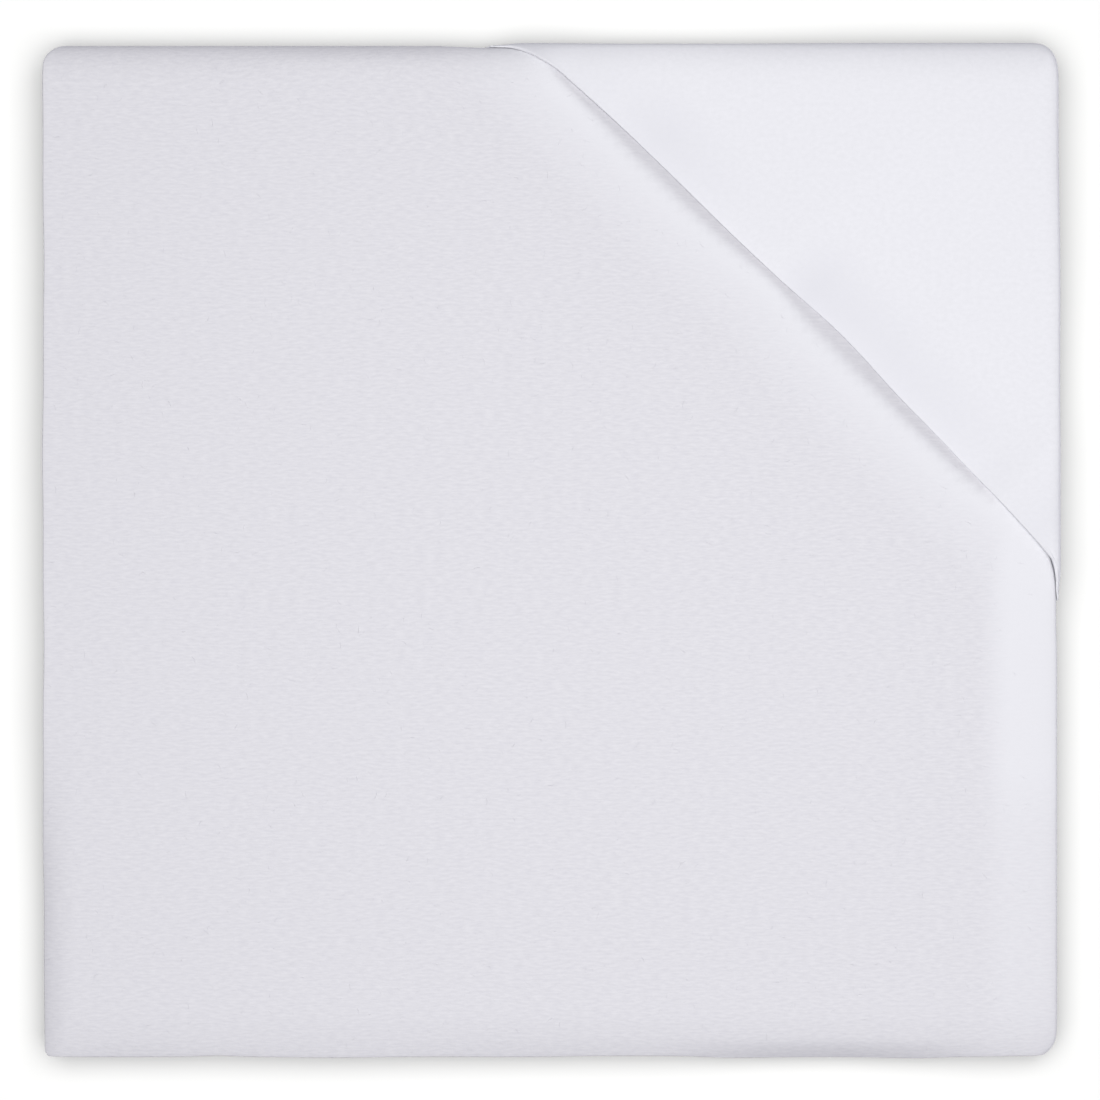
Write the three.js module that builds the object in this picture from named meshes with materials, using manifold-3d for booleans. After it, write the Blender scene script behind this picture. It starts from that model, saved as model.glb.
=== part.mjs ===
// A cot-size mattress protector, folded flat for storage.
// Millimetres, +Z up. The pack lies on the ground plane with its folded spine towards +Y.
// Its origin is under the middle of the pack.
import * as THREE from 'three';
import Module from 'manifold-3d';
import { mergeVertices } from 'three/addons/utils/BufferGeometryUtils.js';

// Driving dimensions of the cloth and of the pack
const PANEL_CLOTH = 1.25;
const PLY_GAP = 0.35;
const PLIES = 4;
const PACK_WIDTH = 300;
const PACK_LENGTH = 299.7;

// The corner pocket is a thinner cloth, drawn over the pack with a little room round it
const POCKET_CLOTH = 1.0;
const POCKET_GAP = 0.38;

// The plies are jointed on one square grid, whose diagonal x + y = DIAGONAL_SUM lies under the
// pocket's edge. The pack sinks in a valley there, and falls towards its free right-hand side.
const GRID = 25;
const DIAGONAL_SUM = 145;
const VALLEY_DEPTH = 1.3;
const SIDE_DROP = 1.1;

// The panel is halved twice across, so each half of the pack holds four plies.
// Ply 3 is the outer one and ply 0 lies next to the middle of the pack.
// Each row is one turn of the cloth: the side it lies on, the plies it joins, its setback
// from the edge of the pack and how many facets it has.
const TURNS = [
  { side: 1, from: 3, to: 0, setback: 0, facets: 8 },
  { side: -1, from: 0, to: 1, setback: 0.9, facets: 5 },
  { side: 1, from: 1, to: 2, setback: PANEL_CLOTH + PLY_GAP, facets: 5 },
];
const HEMS = { outerSetback: 0, innerSetback: 0.6 };

// How far each ply stops short at the open front end of the pack, on its upper and lower half
const PLY_ENDS = [
  { ply: 0, upper: 0.9, lower: 0.6 },
  { ply: 1, upper: 0.5, lower: 1.0 },
  { ply: 2, upper: 0.7, lower: 0.3 },
  { ply: 3, upper: 0.2, lower: 0 },
];

// Corner radii of the pack seen from above, and how far from the side they draw the cloth in
const CORNERS = [
  { side: -1, end: 1, radius: 6.5 },
  { side: 1, end: 1, radius: 6.3 },
  { side: 1, end: -1, radius: 7.4 },
  { side: -1, end: -1, radius: 3.0 },
];
const CORNER_DRAW_IN = 40;

// Joints near the open front end, where the corners are round, and facets round the spine
const FRONT_JOINTS = [0, 1.5, 7.5];
const SPINE_FACETS = 8;

// The pocket's free edge seen from above, from the spine to the right-hand side.
// It bows towards the corner and trails back where it goes over the rolled edges.
const POCKET_EDGE = [
  { x: -19, y: 151.5 },
  { x: -9.5, y: 149.2 },
  { x: -2.7, y: 145.8 },
  { x: 2.4, y: 139.6 },
  { x: 44, y: 100.4 },
  { x: 73.7, y: 74.3 },
  { x: 103.4, y: 44 },
  { x: 133, y: 14 },
  { x: 147, y: -0.9 },
  { x: 149.6, y: -8 },
  { x: 151.5, y: -15.5 },
];
const POCKET_EDGE_STEPS = 26;
const POCKET_CORNER_RADIUS = 5;
const POCKET_CORNER_FACETS = 6;
const POCKET_ROLL_FACETS = 9;

// Sizes that follow from the driving dimensions
const PITCH = PANEL_CLOTH + PLY_GAP;
const FIRST_PLY = PITCH / 2;
const SPINE_RADIUS = FIRST_PLY + (PLIES - 1) * PITCH + PANEL_CLOTH / 2;
const PACK_HEIGHT = 2 * SPINE_RADIUS;
const SIDE_ROLL_RADIUS = ((PLIES - 1) * PITCH + PANEL_CLOTH) / 2;
const PROUD = POCKET_GAP + POCKET_CLOTH;
const LEFT = -(PACK_WIDTH + PROUD) / 2;
const RIGHT = LEFT + PACK_WIDTH;
const FRONT = -(PACK_LENGTH + PROUD) / 2;
const BACK = FRONT + PACK_LENGTH;
const SPINE_CENTRE = BACK - SPINE_RADIUS;

const wasm = await Module();
wasm.setup();

const clamp = THREE.MathUtils.clamp;
const plyHeight = (ply) => FIRST_PLY + ply * PITCH;

// Joins closed rings of points into one closed body. A cap closes each end with rungs from each
// point to the one as far from the ring's end, which suits a band folded double and a convex ring.
// A quad is split along the pocket's diagonal, so that stacked plies bend along the same lines.
function loft(rings) {
  const count = rings[0].length;
  const index = [];
  const at = (ring, point) => ring * count + (point % count);
  for (let ring = 0; ring < rings.length - 1; ring += 1) {
    for (let point = 0; point < count; point += 1) {
      const a = rings[ring][point];
      const c = rings[ring + 1][(point + 1) % count];
      const corners = [at(ring, point), at(ring, point + 1), at(ring + 1, point + 1), at(ring + 1, point)];
      const splitFromA = (c.x - a.x) * (c.y - a.y) < 0;
      const order = splitFromA ? [0, 1, 2, 0, 2, 3] : [0, 1, 3, 1, 2, 3];
      index.push(...order.map((corner) => corners[corner]));
    }
  }
  const last = rings.length - 1;
  for (let rung = 0; rung < count / 2 - 1; rung += 1) {
    const [a, b, c, d] = [rung, rung + 1, count - 2 - rung, count - 1 - rung];
    index.push(at(0, a), at(0, c), at(0, b), at(0, a), at(0, d), at(0, c));
    index.push(at(last, a), at(last, b), at(last, c), at(last, a), at(last, c), at(last, d));
  }
  const geometry = new THREE.BufferGeometry().setFromPoints(rings.flat());
  geometry.setIndex(index);
  return facingOut(geometry);
}

// Turns the faces round if they point into the body
function facingOut(geometry) {
  const position = geometry.getAttribute('position');
  const index = Array.from(geometry.getIndex().array);
  const corner = (i) => new THREE.Vector3().fromBufferAttribute(position, index[i]);
  let volume = 0;
  for (let i = 0; i < index.length; i += 3) {
    volume += corner(i).dot(corner(i + 1).cross(corner(i + 2)));
  }
  if (volume < 0) {
    geometry.setIndex(index.reverse());
  }
  geometry.computeVertexNormals();
  return geometry;
}

// Places of the grid lines through one known line that lie between two ends and clear of them
function gridLines(known, low, high) {
  const clear = GRID / 4;
  const first = Math.ceil((low + clear - known) / GRID);
  const last = Math.floor((high - clear - known) / GRID);
  return Array.from({ length: last - first + 1 }, (_, step) => known + (first + step) * GRID);
}

// Centre line of the four plies across the pack, as points with the direction of travel.
// It runs from the outer hem round the three turns to the inner hem.
function plyLine() {
  const line = [];
  const run = (fromX, toX, ply) => {
    const way = Math.sign(toX - fromX);
    const [low, high] = [Math.min(fromX, toX), Math.max(fromX, toX)];
    const joints = gridLines(DIAGONAL_SUM - SPINE_CENTRE, low, high);
    for (const x of [fromX, ...(way > 0 ? joints : joints.reverse()), toX]) {
      line.push({ x, n: plyHeight(ply), dx: way, dn: 0 });
    }
  };
  let x = LEFT + HEMS.outerSetback;
  for (const turn of TURNS) {
    const radius = (Math.abs(turn.from - turn.to) * PITCH) / 2;
    const edge = turn.side > 0 ? RIGHT : LEFT;
    const centreX = edge - turn.side * (turn.setback + radius + PANEL_CLOTH / 2);
    const centreN = (plyHeight(turn.from) + plyHeight(turn.to)) / 2;
    const upward = Math.sign(turn.to - turn.from);
    run(x, centreX, turn.from);
    for (let facet = 1; facet < turn.facets; facet += 1) {
      const angle = (Math.PI * facet) / turn.facets;
      line.push({
        x: centreX + turn.side * radius * Math.sin(angle),
        n: centreN - upward * radius * Math.cos(angle),
        dx: turn.side * Math.cos(angle),
        dn: upward * Math.sin(angle),
      });
    }
    x = centreX;
  }
  run(x, LEFT + HEMS.innerSetback, TURNS[TURNS.length - 1].to);
  return line;
}

// Outline of the cloth band in the section across the pack: one face of it, then the other one back
function plySection() {
  const line = plyLine();
  const half = PANEL_CLOTH / 2;
  const offset = (p, by) => new THREE.Vector2(p.x - by * p.dn, p.n + by * p.dx);
  const face = (by) => line.map((p) => offset(p, by));
  return [...face(half), ...face(-half).reverse()];
}

// Stations along the pack's long fold: the upper half, round the spine, and the lower half back
function foldStations() {
  const front = FRONT_JOINTS.map((joint) => FRONT + joint);
  const grid = gridLines(SPINE_CENTRE, front[front.length - 1], SPINE_CENTRE);
  const along = [...front, ...grid, SPINE_CENTRE];
  const upper = along.map((y) => ({ y, angle: 0 }));
  const lower = along.map((y) => ({ y, angle: Math.PI })).reverse();
  const spine = [];
  for (let facet = 1; facet < SPINE_FACETS; facet += 1) {
    spine.push({ y: SPINE_CENTRE, angle: (Math.PI * facet) / SPINE_FACETS });
  }
  return [...upper, ...spine, ...lower];
}

// How far the rounded corners draw the side of the pack in at this place
function cornerInset(x, y) {
  let inset = 0;
  for (const corner of CORNERS) {
    const edge = corner.side > 0 ? RIGHT : LEFT;
    const end = corner.end > 0 ? BACK : FRONT;
    const reach = clamp(corner.radius - corner.end * (end - y), 0, corner.radius);
    const depth = corner.radius - Math.sqrt(corner.radius ** 2 - reach ** 2);
    const near = clamp(1 - (corner.side * (edge - x)) / CORNER_DRAW_IN, 0, 1);
    inset -= corner.side * depth * near;
  }
  return inset;
}

// Share of its full height that the pack keeps at this place.
// It sinks in a valley under the pocket's edge and slopes down towards the free right-hand side.
function heightShare(x, y) {
  const across = (x + y - DIAGONAL_SUM) / GRID;
  const along = clamp(1 - Math.abs(x - y) / PACK_WIDTH, 0, 1);
  const valley = VALLEY_DEPTH * Math.max(0, 1 - Math.abs(across)) * Math.sqrt(along);
  const held = clamp(across, 0, 1);
  const side = SIDE_DROP * clamp((x - RIGHT) / GRID + 1, 0, 1) * (1 - held);
  return 1 - Math.max(valley, side) / PACK_HEIGHT;
}

// Shortfall of a ply at the open end, from the table and the height in its half of the pack
function endShortfall(n, half) {
  const level = clamp((n - FIRST_PLY) / PITCH, 0, PLIES - 1);
  const below = PLY_ENDS[Math.floor(level)];
  const above = PLY_ENDS[Math.ceil(level)];
  return THREE.MathUtils.lerp(below[half], above[half], level - Math.floor(level));
}

// The panel: the band of four plies carried along the long fold, which makes eight
function foldedPanel() {
  const section = plySection();
  const rings = foldStations().map((station) => section.map((point) => {
    const half = station.angle < Math.PI / 2 ? 'upper' : 'lower';
    const open = station.y === FRONT ? endShortfall(point.y, half) : 0;
    const y = station.y + open + point.y * Math.sin(station.angle);
    const z = SPINE_RADIUS + point.y * Math.cos(station.angle);
    const x = point.x + cornerInset(point.x, y);
    return new THREE.Vector3(x, y, z * heightShare(x, y));
  }));
  return loft(rings);
}

// Setback of a rolled edge at a height, for a body that stands off the pack by an offset
function rollSetback(z, offset, rollRadius) {
  const radius = rollRadius + offset;
  const straight = SPINE_RADIUS - rollRadius;
  const beyond = clamp(Math.abs(z - SPINE_RADIUS) - straight, 0, radius);
  return radius - Math.sqrt(radius ** 2 - beyond ** 2);
}

// Body that fills the pack's rear right corner and stands off it by an offset.
// Its other two sides lie in the middle of the pack, where the pocket's cut takes them away.
function cornerBody(offset) {
  const [innerX, innerY] = [LEFT / 2, FRONT / 2];
  const radius = POCKET_CORNER_RADIUS - PROUD + offset;
  const rings = [];
  for (let level = -POCKET_ROLL_FACETS; level <= POCKET_ROLL_FACETS; level += 1) {
    const rise = Math.sin((Math.PI / 2) * (level / POCKET_ROLL_FACETS));
    const z = SPINE_RADIUS + (SPINE_RADIUS + offset) * rise;
    const right = RIGHT + offset - rollSetback(z, offset, SIDE_ROLL_RADIUS);
    const back = BACK + offset - rollSetback(z, offset, SPINE_RADIUS);
    const ring = [new THREE.Vector3(innerX, innerY, z), new THREE.Vector3(right, innerY, z)];
    for (let facet = 0; facet <= POCKET_CORNER_FACETS; facet += 1) {
      const angle = (Math.PI / 2) * (facet / POCKET_CORNER_FACETS);
      const x = right - radius * (1 - Math.cos(angle));
      const y = back - radius * (1 - Math.sin(angle));
      ring.push(new THREE.Vector3(x, y, z));
    }
    ring.push(new THREE.Vector3(innerX, back, z));
    rings.push(ring);
  }
  return loft(rings);
}

// Upright prism over the pocket's outline seen from above, which stands on the ground plane
function pocketPrism() {
  const points = POCKET_EDGE.map((p) => new THREE.Vector2(p.x, p.y));
  const edge = new THREE.SplineCurve(points).getPoints(POCKET_EDGE_STEPS);
  const beyond = 10;
  const outline = [
    ...edge,
    new THREE.Vector2(RIGHT + beyond, edge[edge.length - 1].y),
    new THREE.Vector2(RIGHT + beyond, BACK + beyond),
    new THREE.Vector2(edge[0].x, BACK + beyond),
  ];
  const depth = PACK_HEIGHT + beyond;
  return new THREE.ExtrudeGeometry(new THREE.Shape(outline), { depth, bevelEnabled: false });
}

function toManifold(geometry) {
  const bare = geometry.clone();
  bare.deleteAttribute('normal');
  bare.deleteAttribute('uv');
  const merged = mergeVertices(bare);
  return new wasm.Manifold(new wasm.Mesh({
    numProp: 3,
    vertProperties: merged.getAttribute('position').array,
    triVerts: merged.getIndex().array,
  }));
}

function fromManifold(solid) {
  const mesh = solid.getMesh();
  const geometry = new THREE.BufferGeometry();
  geometry.setAttribute('position', new THREE.BufferAttribute(mesh.vertProperties, 3));
  geometry.setIndex(new THREE.BufferAttribute(mesh.triVerts, 1));
  geometry.computeVertexNormals();
  return geometry;
}

// The pocket: a shell over the rear right corner, cut to its outline and level with the ground
function cornerPocket() {
  const outer = toManifold(cornerBody(PROUD));
  const inner = toManifold(cornerBody(POCKET_GAP));
  const outline = toManifold(pocketPrism());
  return fromManifold(outer.subtract(inner).intersect(outline));
}

function addPiece(group, name, geometry, color, roughness) {
  const material = new THREE.MeshStandardMaterial({ color, roughness, metalness: 0 });
  const mesh = new THREE.Mesh(geometry, material);
  mesh.name = name;
  group.add(mesh);
}

const group = new THREE.Group();
addPiece(group, 'folded_panel', foldedPanel(), '#e6e5ea', 0.95);
addPiece(group, 'corner_pocket', cornerPocket(), '#f0f0f4', 0.9);

export default group;
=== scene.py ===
"""A cot-size mattress protector, folded flat for storage, with one corner pocket turned over it."""
import logging
import math
from dataclasses import dataclass, field
from enum import Enum
from typing import ClassVar

import bpy
import numpy as np
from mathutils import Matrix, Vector


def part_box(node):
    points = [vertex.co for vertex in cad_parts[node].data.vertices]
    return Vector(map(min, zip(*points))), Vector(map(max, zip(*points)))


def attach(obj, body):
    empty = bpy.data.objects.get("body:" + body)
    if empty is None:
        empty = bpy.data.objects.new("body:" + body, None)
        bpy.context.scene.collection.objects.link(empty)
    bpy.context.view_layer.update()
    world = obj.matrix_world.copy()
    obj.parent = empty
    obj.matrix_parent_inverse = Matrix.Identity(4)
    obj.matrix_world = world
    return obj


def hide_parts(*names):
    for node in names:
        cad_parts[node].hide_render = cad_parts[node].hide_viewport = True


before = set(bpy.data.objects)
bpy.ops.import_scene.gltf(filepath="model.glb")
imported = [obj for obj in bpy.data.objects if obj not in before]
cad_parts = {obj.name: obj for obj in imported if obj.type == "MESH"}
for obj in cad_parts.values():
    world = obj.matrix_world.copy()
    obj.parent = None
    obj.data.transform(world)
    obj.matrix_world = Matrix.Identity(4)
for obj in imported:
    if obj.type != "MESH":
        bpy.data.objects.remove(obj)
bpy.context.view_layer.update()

MM = 0.001
PHOTO_PIXELS = 1100
LOG = logging.getLogger("protector")


class Mark(Enum):
    """Values that each point of a cloth carries for its finish."""

    # Painted light: each point's share of its finish's painted tone, a painted highlight on the panel and painted
    # shade on the pocket.
    PAINTED_LIGHT = "painted_light"
    WORN = "worn"


def linear_colour(code: str) -> tuple[float, float, float, float]:
    """Turn an sRGB hex colour into the linear one that a shader reads.

    Args:
        code: the colour, as in "#e3e2e7".

    Returns:
        Linear red, green, blue and an alpha of one.
    """
    shares = [int(code[i : i + 2], 16) / 255 for i in (1, 3, 5)]
    linear = [s / 12.92 if s <= 0.04045 else ((s + 0.055) / 1.055) ** 2.4 for s in shares]
    return (*linear, 1.0)


def add_node(tree: bpy.types.NodeTree, kind: str, inputs: dict | None = None, **settings) -> bpy.types.Node:
    """Add one node with its settings, its socket values and its links.

    Args:
        tree: the node tree that gets it.
        kind: the node's type name.
        inputs: by socket name or number, a value or the socket that feeds it.
        **settings: properties of the node itself.

    Returns:
        The new node.
    """
    node = tree.nodes.new(kind)
    for name, value in settings.items():
        setattr(node, name, value)
    for key, value in (inputs or {}).items():
        if isinstance(value, bpy.types.NodeSocket):
            tree.links.new(value, node.inputs[key])
        else:
            node.inputs[key].default_value = value
    return node


def blank_tree(owner: bpy.types.ID) -> bpy.types.NodeTree:
    """Give a new material or world an empty node tree."""
    owner.use_nodes = True
    owner.node_tree.nodes.clear()
    return owner.node_tree


def put_in_scene(name: str, data: bpy.types.ID) -> bpy.types.Object:
    """Make an object of a mesh, lamp or camera and link it to the scene."""
    made = bpy.data.objects.new(name, data)
    bpy.context.scene.collection.objects.link(made)
    return made


def unit(vectors: np.ndarray) -> np.ndarray:
    """Vectors of length one in the same directions."""
    return vectors / np.maximum(np.linalg.norm(vectors, axis=-1, keepdims=True), 1e-9)


def grid_facets(index: np.ndarray) -> np.ndarray:
    """Corners of each facet of a grid of numbered points, one facet a row."""
    return np.stack([index[:-1, :-1], index[:-1, 1:], index[1:, 1:], index[1:, :-1]], axis=-1).reshape(-1, 4)


def ramp(value: np.ndarray, low: float, high: float) -> np.ndarray:
    """Ease from 0 at low to 1 at high, level at both ends."""
    share = np.clip((value - low) / (high - low), 0, 1)
    return share * share * (3 - 2 * share)


def rounded_ramp(value: np.ndarray, radius: np.ndarray | float) -> np.ndarray:
    """Keep what is above 0 and drop what is below, with a round bend of a given half width between."""
    bend = np.clip(value + radius, 0, 2 * radius) ** 2 / (4 * radius)
    return bend + np.clip(value - radius, 0, None)


def graded(start: float, end: float, coarse: float, fine: float, reach: float) -> np.ndarray:
    """Places along a line, closer together near both of its ends.

    Args:
        start: first place.
        end: last place.
        coarse: spacing in the middle.
        fine: spacing at the ends.
        reach: how far from an end the fine spacing goes.

    Returns:
        The places, both ends included.
    """
    length = abs(end - start)
    dense = np.linspace(0, length, 2001)
    near = np.minimum(dense, length - dense)
    spacing = fine + (coarse - fine) * ramp(near, reach * 0.5, reach * 1.5)
    count = np.concatenate([[0], np.cumsum(np.diff(dense) / spacing[1:])])
    steps = max(2, int(round(count[-1])))
    places = np.interp(np.linspace(0, count[-1], steps + 1), count, dense)
    return start + math.copysign(1, end - start) * places


def focused(start: float, end: float, steps: int, focus: np.ndarray) -> np.ndarray:
    """Places along a line, closer together round a focus that each row has of its own.

    Args:
        start: first place.
        end: last place.
        steps: how many steps each row has.
        focus: the place of each row where the spacing is fine.

    Returns:
        One row of places for each focus, both ends included.
    """
    dense = np.linspace(start, end, 1501)
    rows = []
    for place in focus:
        ends = ramp(np.minimum(dense - start, end - dense), 5, 18)
        near = np.exp(-(((dense - place) / 9.5) ** 4))
        spacing = (1.3 + 2.1 * ends) * (1 - near) + 0.62 * near
        count = np.concatenate([[0], np.cumsum(np.diff(dense) / spacing[1:])])
        rows.append(np.interp(np.linspace(0, count[-1], steps + 1), count, dense))
    return np.array(rows)


@dataclass(frozen=True)
class PackPlan:
    """Places and sizes of the folded pack in millimetres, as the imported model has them."""

    left: float
    right: float
    front: float
    back: float
    height: float
    cloth: float = 1.25
    plies: int = 4

    @classmethod
    def of_node(cls, node: str) -> "PackPlan":
        """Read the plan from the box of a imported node."""
        low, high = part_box(node)
        return cls(low[0] / MM, high[0] / MM, low[1] / MM, high[1] / MM, high[2] / MM)

    @property
    def middle(self) -> float:
        """Height of the pack's middle, between its two halves."""
        return self.height / 2

    @property
    def pitch(self) -> float:
        """Distance from one ply's centre to the next one's."""
        return (self.middle - self.cloth / 2) / (self.plies - 0.5)

    def ply(self, number: float) -> float:
        """Distance of a ply's centre from the middle of the pack."""
        return self.pitch * (number + 0.5)


@dataclass(frozen=True)
class PocketEdge:
    """The pocket's free edge seen from above, by its place along the diagonal.

    The place is x - y, and the edge lies where x + y has the value beside it.
    """

    places: tuple[float, ...] = (
        -160, -138, -120, -102, -84, -66, -42, -18, -6, 6, 18, 30, 42, 54, 66, 84, 102, 120, 138, 150, 170
    )
    sums: tuple[float, ...] = (
        143.9, 144.8, 145.9, 146.8, 147.2, 147.3, 147.4, 147.8, 148.4, 149.6, 150.4, 150.3, 149.8, 148.9, 148.8,
        148.6, 147.9, 147.3, 146.5, 145.7, 143.8
    )

    def line(self, place: np.ndarray) -> np.ndarray:
        """Value of x + y on the edge at places along the diagonal."""
        smooth = np.interp(place, self.places, self.sums)
        for shift in (4, 8):
            smooth = smooth + np.interp(place - shift, self.places, self.sums)
            smooth = smooth + np.interp(place + shift, self.places, self.sums)
        return smooth / 5

    def distance(self, x: np.ndarray, y: np.ndarray) -> np.ndarray:
        """Distance from the edge, positive on the bare side of the pack."""
        return (self.line(x - y) - (x + y)) / math.sqrt(2)


@dataclass(frozen=True)
class Relief:
    """Soft falls of the pack's upper side, which all of its plies share.

    The rows of places, widths and depths follow the photograph's light and shade by eye and by
    comparison with the render. Places are along the diagonal, x - y, for the crease and its slope,
    x for the front and the slump, y for the side, and distance past the crease for the fades.
    """

    plan: PackPlan
    edge: PocketEdge
    valley_depth: float = 0.8
    valley_reach: float = 26.0
    crease_places: tuple[float, ...] = (
        -150, -138, -126, -114, -102, -90, -66, -54, -42, -30, -18, -6, 6, 18, 36, 48, 60, 78, 90, 102, 110, 118, 150
    )
    crease_widths: tuple[float, ...] = (
        0.8, 2.4, 3.1, 3.5, 4.0, 4.3, 4.3, 4.1, 3.7, 3.0, 2.3, 2.9, 4.6, 5.2, 5.3, 4.6, 4.3, 4.0, 3.6, 2.8, 1.9,
        0.9, 0.5
    )
    crease_slope: float = 0.95
    slope_places: tuple[float, ...] = (-150, -138, -110, 20, 60, 104, 118, 150)
    slope_shares: tuple[float, ...] = (0.3, 0.75, 1, 1.02, 1.12, 1.15, 1, 0.55)
    crease_foot: float = 0.3
    crease_return: float = 78.0
    side_fall: float = 2.1
    side_reach: float = 25.0
    front_places: tuple[float, ...] = (-150, -128, -105, -60, -10, 30, 60, 85, 110, 128, 150)
    front_falls: tuple[float, ...] = (2.4, 2.8, 2.9, 3.2, 3.9, 3.9, 4.1, 4.1, 3.7, 3.4, 2.7)
    front_reach: float = 14.0
    curls: tuple[float, ...] = (0.3, 0.8, 0.5, 0.1, 0.4, 0.6, 2.2, 2.8, 2.0, 0.6, 0.4)
    curl_reach: float = 6.0
    left_fall: float = 3.2
    left_reach: float = 10.0
    taper_depth: float = 0.68
    slump_places: tuple[float, ...] = (-150, -134, -90, -72, -32, -18, 8, 20, 72, 88, 150)
    slump_depths: tuple[float, ...] = (0.5, 0.6, 0.7, 1.4, 1.4, 0.7, 0.4, 0.5, 0.5, 0, 0)
    slump_reach: float = 3.5
    # The fades, and the side's places and shares, set the painted highlight beside the crease and along the
    # right-hand fold.
    fade_places: tuple[float, ...] = (2.6, 5, 8, 12, 15.5, 19, 23)
    fade_shares: tuple[float, ...] = (1, 0.78, 0.58, 0.42, 0.32, 0.16, 0)
    side_places: tuple[float, ...] = (-150, -128, -85, -65, 0)
    side_shares: tuple[float, ...] = (0.1, 0.35, 0.45, 0.85, 0.95)
    half_length: float = 150.0
    settled: float = 0.12
    swell: float = 0.10

    def open_share(self, place: np.ndarray) -> np.ndarray:
        """How open the pocket's mouth stands, from 0 at its ends to 1 in the middle."""
        share = np.clip((place + self.half_length) / (2 * self.half_length), 0, 1)
        return np.sin(np.pi * share) ** 0.6

    def crease_width(self, place: np.ndarray) -> np.ndarray:
        """Width of the crease beside the pocket's edge, by its place along the diagonal."""
        return np.interp(place, self.crease_places, self.crease_widths)

    def valley(self, x: np.ndarray, y: np.ndarray, spread: np.ndarray | float = 0.0) -> np.ndarray:
        """Fall beside and under the pocket's free edge, which presses into the pack.

        Args:
            x: places across.
            y: places along.
            spread: how much wider the crease is in the plies below the outermost one.

        Returns:
            The fall at each place.
        """
        place, off = x - y, self.edge.distance(x, y)
        bell = 0.5 * (1 + np.cos(np.pi * np.clip(off / self.valley_reach, -1, 1)))
        width = self.crease_width(place)
        round_over = 0.3 * width + 0.45
        slope = self.crease_slope * np.interp(place, self.slope_places, self.slope_shares)
        crest = width + 0.41 * round_over + 0.42 * ramp(width, 0.6, 2.2) + spread
        rise = rounded_ramp(crest - off, round_over) - rounded_ramp(self.crease_foot + spread - off, 1.1)
        crease = slope * rise * (1 - ramp(-off, 4, self.crease_return))
        return self.valley_depth * bell * self.open_share(place) + crease

    def right_side(self, x: np.ndarray, y: np.ndarray) -> np.ndarray:
        """Fall towards the right-hand fold, where no pocket holds it."""
        free = ramp(self.edge.distance(x, y), -4, 22)
        share = np.clip((x - self.plan.right) / self.side_reach + 1, 0, 1)
        return self.side_fall * share**2 * free

    def front_end(self, x: np.ndarray, y: np.ndarray) -> np.ndarray:
        """Droop of the loose ends at the open front, uneven along it."""
        inward = y - self.plan.front
        share = np.clip(1 - inward / self.front_reach, 0, 1)
        tip = np.clip(1 - inward / self.curl_reach, 0, 1)
        droop = np.interp(x, self.front_places, self.front_falls) * share**1.6
        return droop + np.interp(x, self.front_places, self.curls) * tip**1.7

    def left_hem(self, x: np.ndarray, y: np.ndarray) -> np.ndarray:
        """Droop of the outer hem, along its lower part alone."""
        share = np.clip(1 - (x - self.plan.left) / self.left_reach, 0, 1)
        low = ramp(-y, 40, 105)
        return self.left_fall * share**2 * low

    def taper(self, y: np.ndarray) -> np.ndarray:
        """How far the pack's right side is drawn in towards its rear corner."""
        return self.taper_depth * ramp(y, 72, 124)

    def rear_slump(self, x: np.ndarray, y: np.ndarray) -> np.ndarray:
        """Fall of the cloth over the shoulder of the long fold, uneven along it."""
        behind = (self.plan.back - y) / self.slump_reach
        return np.interp(x, self.slump_places, self.slump_depths) * np.exp(-(behind**2))

    def fall(self, x: np.ndarray, y: np.ndarray, spread: np.ndarray | float = 0.0) -> np.ndarray:
        """All falls together at a place seen from above, with the crease wider by the spread."""
        sunk = np.maximum(self.valley(x, y, spread), self.right_side(x, y))
        ends = np.hypot(self.front_end(x, y), self.left_hem(x, y))
        swell = self.swell * np.sin(x / 31 + 0.7) * np.sin(y / 43 - 0.4)
        return sunk + ends + self.rear_slump(x, y) + self.settled + swell

    def share(self, x: np.ndarray, y: np.ndarray, spread: np.ndarray | float = 0.0) -> np.ndarray:
        """Share of its full height that the pack keeps."""
        return 1 - self.fall(x, y, spread) / self.plan.height

    def painted_light(self, x: np.ndarray, y: np.ndarray) -> np.ndarray:
        """How much painted highlight the top plies get: a paler tone beside the pocket's crease and along the
        right-hand fold.
        """
        off = self.edge.distance(x, y)
        past = off - self.crease_width(x - y)
        beside = np.interp(past, self.fade_places, self.fade_shares) * ramp(past, -1.2, 1.6)
        inward = self.plan.right - x
        side = (1 - ramp(inward, 13, 25)) * np.interp(y, self.side_places, self.side_shares)
        return np.maximum(beside, side)


@dataclass(frozen=True)
class SheetGrid:
    """Middle surface of a cloth as rows and columns of points, in millimetres.

    The cut is each point's place on the flat cloth, and kept is the share of its thickness
    that the soft cloth keeps where the plies are squeezed together.
    """

    points: np.ndarray
    cut: np.ndarray
    kept: np.ndarray
    marks: dict[Mark, np.ndarray]


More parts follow.
